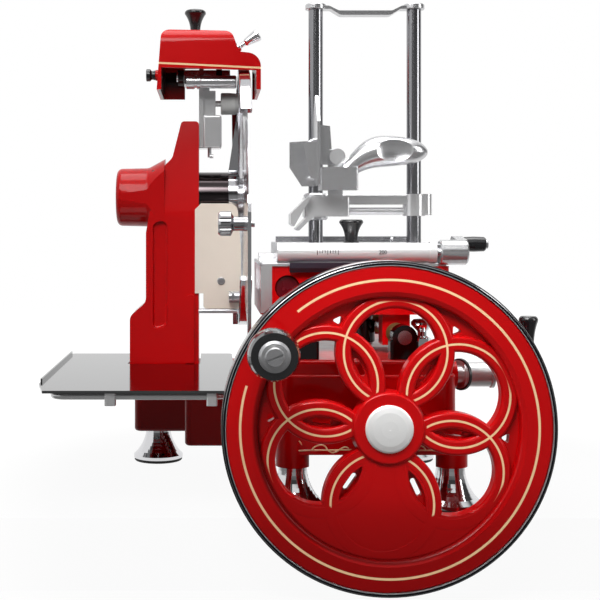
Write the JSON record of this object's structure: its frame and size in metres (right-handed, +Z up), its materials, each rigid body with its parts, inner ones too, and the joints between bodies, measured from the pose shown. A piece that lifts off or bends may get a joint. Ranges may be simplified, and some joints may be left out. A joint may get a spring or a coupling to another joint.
{
  "type": "hand crank meat slicer",
  "caption": "Hand-cranked slicer: flower-web flywheel with ball grip, round vertical blade and guard, sliding carriage with feed crank and meat clamp, sharpener and tray.",
  "frame": {"origin": "midway between the two front feet, on the plane the feet stand on", "axes": "+X to the right seen from the flywheel side, along the blade axis; +Y from the flywheel to the back; +Z up"},
  "size_m": [0.5658, 0.6, 0.675],
  "materials": {
    "red_enamel": "gloss",
    "chrome": "polished",
    "hub_polish": "polished",
    "rubber": "matt",
    "tray_steel": "brushed",
    "steel": "ground",
    "cast_alloy": "polished",
    "dark_steel": "blackened",
    "bronze": "machined",
    "black_knob": "gloss",
    "dark_red": "gloss",
    "stone": "fine grit"
  },
  "bodies": {
    "base": {"base_casting": "red_enamel", "column_casting": "red_enamel", "feet": "chrome", "foot_pads": "rubber", "tray": "tray_steel", "tray_frame": "steel", "carriage_rails": "steel", "rail_brackets": "chrome", "front_bearing": "bronze", "rear_bearing": "bronze", "cross_bearings": "bronze", "spindle_housing": "chrome", "blade_guard": "chrome", "deflector_plate": "tray_steel", "deflector_fixings": "chrome", "sharpener_bracket": "steel", "sharpener_arm": "chrome", "oil_cup": "chrome", "drive_belt": "rubber"},
    "wheel": {"flywheel": "red_enamel", "flywheel_tread": "chrome", "hub_cap": "hub_polish", "wheel_shaft": "steel", "bevel_gear": "steel", "crank_pin": "chrome"},
    "grip": {"crank_grip": "black_knob"},
    "cross": {"cross_shaft": "steel", "bevel_pinion": "steel", "lower_pulley": "steel"},
    "cutter": {"blade": "steel", "blade_cap": "steel", "blade_spindle": "steel", "upper_pulley": "steel"},
    "carriage": {"carriage_casting": "red_enamel", "carriage_plates": "chrome", "carriage_disc": "dark_red", "carriage_bushes": "bronze", "drive_stub": "chrome", "feed_rail": "chrome", "feed_apron": "dark_steel"},
    "table": {"meat_table": "cast_alloy", "feed_nut": "bronze", "posts": "steel", "post_strap": "cast_alloy"},
    "release": {"release_knob": "black_knob"},
    "feed": {"feed_screw": "steel", "feed_crank_arm": "cast_alloy"},
    "feed_handle": {"feed_grip": "black_knob"},
    "clamp": {"clamp_arm": "chrome"},
    "clamp_plate": {"spiked_plate": "steel", "clamp_handle": "cast_alloy"},
    "cover": {"sharpener_cover": "red_enamel", "cover_knob": "black_knob", "cover_latch": "black_knob"},
    "lever": {"sharpener_lever": "chrome"},
    "stone": {"sharpener_stone": "stone"},
    "dial": {"thickness_drum": "chrome", "thickness_knob": "black_knob"},
    "gauge": {"gauge_plate": "steel"},
    "clamp_nut": {"plate_knob": "chrome"}
  },
  "joints": [
    {"name": "wheel_turn", "type": "hinge", "parent": "base", "child": "wheel", "pos_m": [0.006, -0.07, 0.103], "axis": [0, 1, 0], "continuous": true},
    {"name": "grip_spin", "type": "hinge", "parent": "wheel", "child": "grip", "pos_m": [-0.11844, -0.14, 0.18853], "axis": [0, 1, 0], "continuous": true},
    {"name": "cross_turn", "type": "hinge", "parent": "base", "child": "cross", "pos_m": [-0.1, 0.245, 0.103], "axis": [1, 0, 0], "continuous": true},
    {"name": "blade_turn", "type": "hinge", "parent": "base", "child": "cutter", "pos_m": [-0.136, 0.245, 0.353], "axis": [1, 0, 0], "continuous": true},
    {"name": "carriage_slide", "type": "slide", "parent": "base", "child": "carriage", "axis": [0, 1, 0], "range_m": [-0.02, 0.11]},
    {"name": "feed_turn", "type": "hinge", "parent": "carriage", "child": "feed", "pos_m": [0.1, 0.041, 0.284], "axis": [1, 0, 0], "range_deg": [-1600, 1250]},
    {"name": "table_feed", "type": "slide", "parent": "carriage", "child": "table", "axis": [1, 0, 0], "range_m": [-0.0177, 0.0138]},
    {"name": "feed_grip_spin", "type": "hinge", "parent": "feed", "child": "feed_handle", "pos_m": [0.13, 0.066, 0.293], "axis": [1, 0, 0], "continuous": true},
    {"name": "release_turn", "type": "hinge", "parent": "table", "child": "release", "pos_m": [-0.0135, 0.072, 0.3], "axis": [0, 0, 1], "range_deg": [0, 90]},
    {"name": "clamp_slide", "type": "slide", "parent": "table", "child": "clamp", "axis": [0, 0, 1], "range_m": [-0.011, 0.1]},
    {"name": "clamp_tilt", "type": "hinge", "parent": "clamp", "child": "clamp_plate", "pos_m": [-0.027, 0.11, 0.398], "axis": [0, -1, 0], "range_deg": [-8, 12]},
    {"name": "cover_lift", "type": "hinge", "parent": "base", "child": "cover", "pos_m": [-0.19, 0.282, 0.52], "axis": [-1, 0, 0], "range_deg": [0, 45]},
    {"name": "lever_turn", "type": "hinge", "parent": "cover", "child": "lever", "pos_m": [-0.145, 0.24, 0.5515], "axis": [0.848, 0, 0.5299], "range_deg": [-60, 60]},
    {"name": "stone_spin", "type": "hinge", "parent": "base", "child": "stone", "pos_m": [-0.15, 0.245, 0.478], "axis": [1, 0, 0], "continuous": true},
    {"name": "dial_turn", "type": "hinge", "parent": "base", "child": "dial", "pos_m": [0.13, 0.02, 0.146], "axis": [1, 0, 0], "range_deg": [0, 268]},
    {"name": "gauge_slide", "type": "slide", "parent": "base", "child": "gauge", "axis": [1, 0, 0], "range_m": [-0.00297, 0]},
    {"name": "plate_knob_spin", "type": "hinge", "parent": "gauge", "child": "clamp_nut", "pos_m": [-0.15, 0.062, 0.317], "axis": [1, 0, 0], "continuous": true}
  ],
  "couplings": [
    {"joint": "cross_turn", "follows": "wheel_turn", "ratio": -3},
    {"joint": "blade_turn", "follows": "wheel_turn", "ratio": -3},
    {"joint": "feed_turn", "follows": "table_feed", "rad_per_m": 1570.8},
    {"joint": "dial_turn", "follows": "gauge_slide", "rad_per_m": -1570.8}
  ]
}
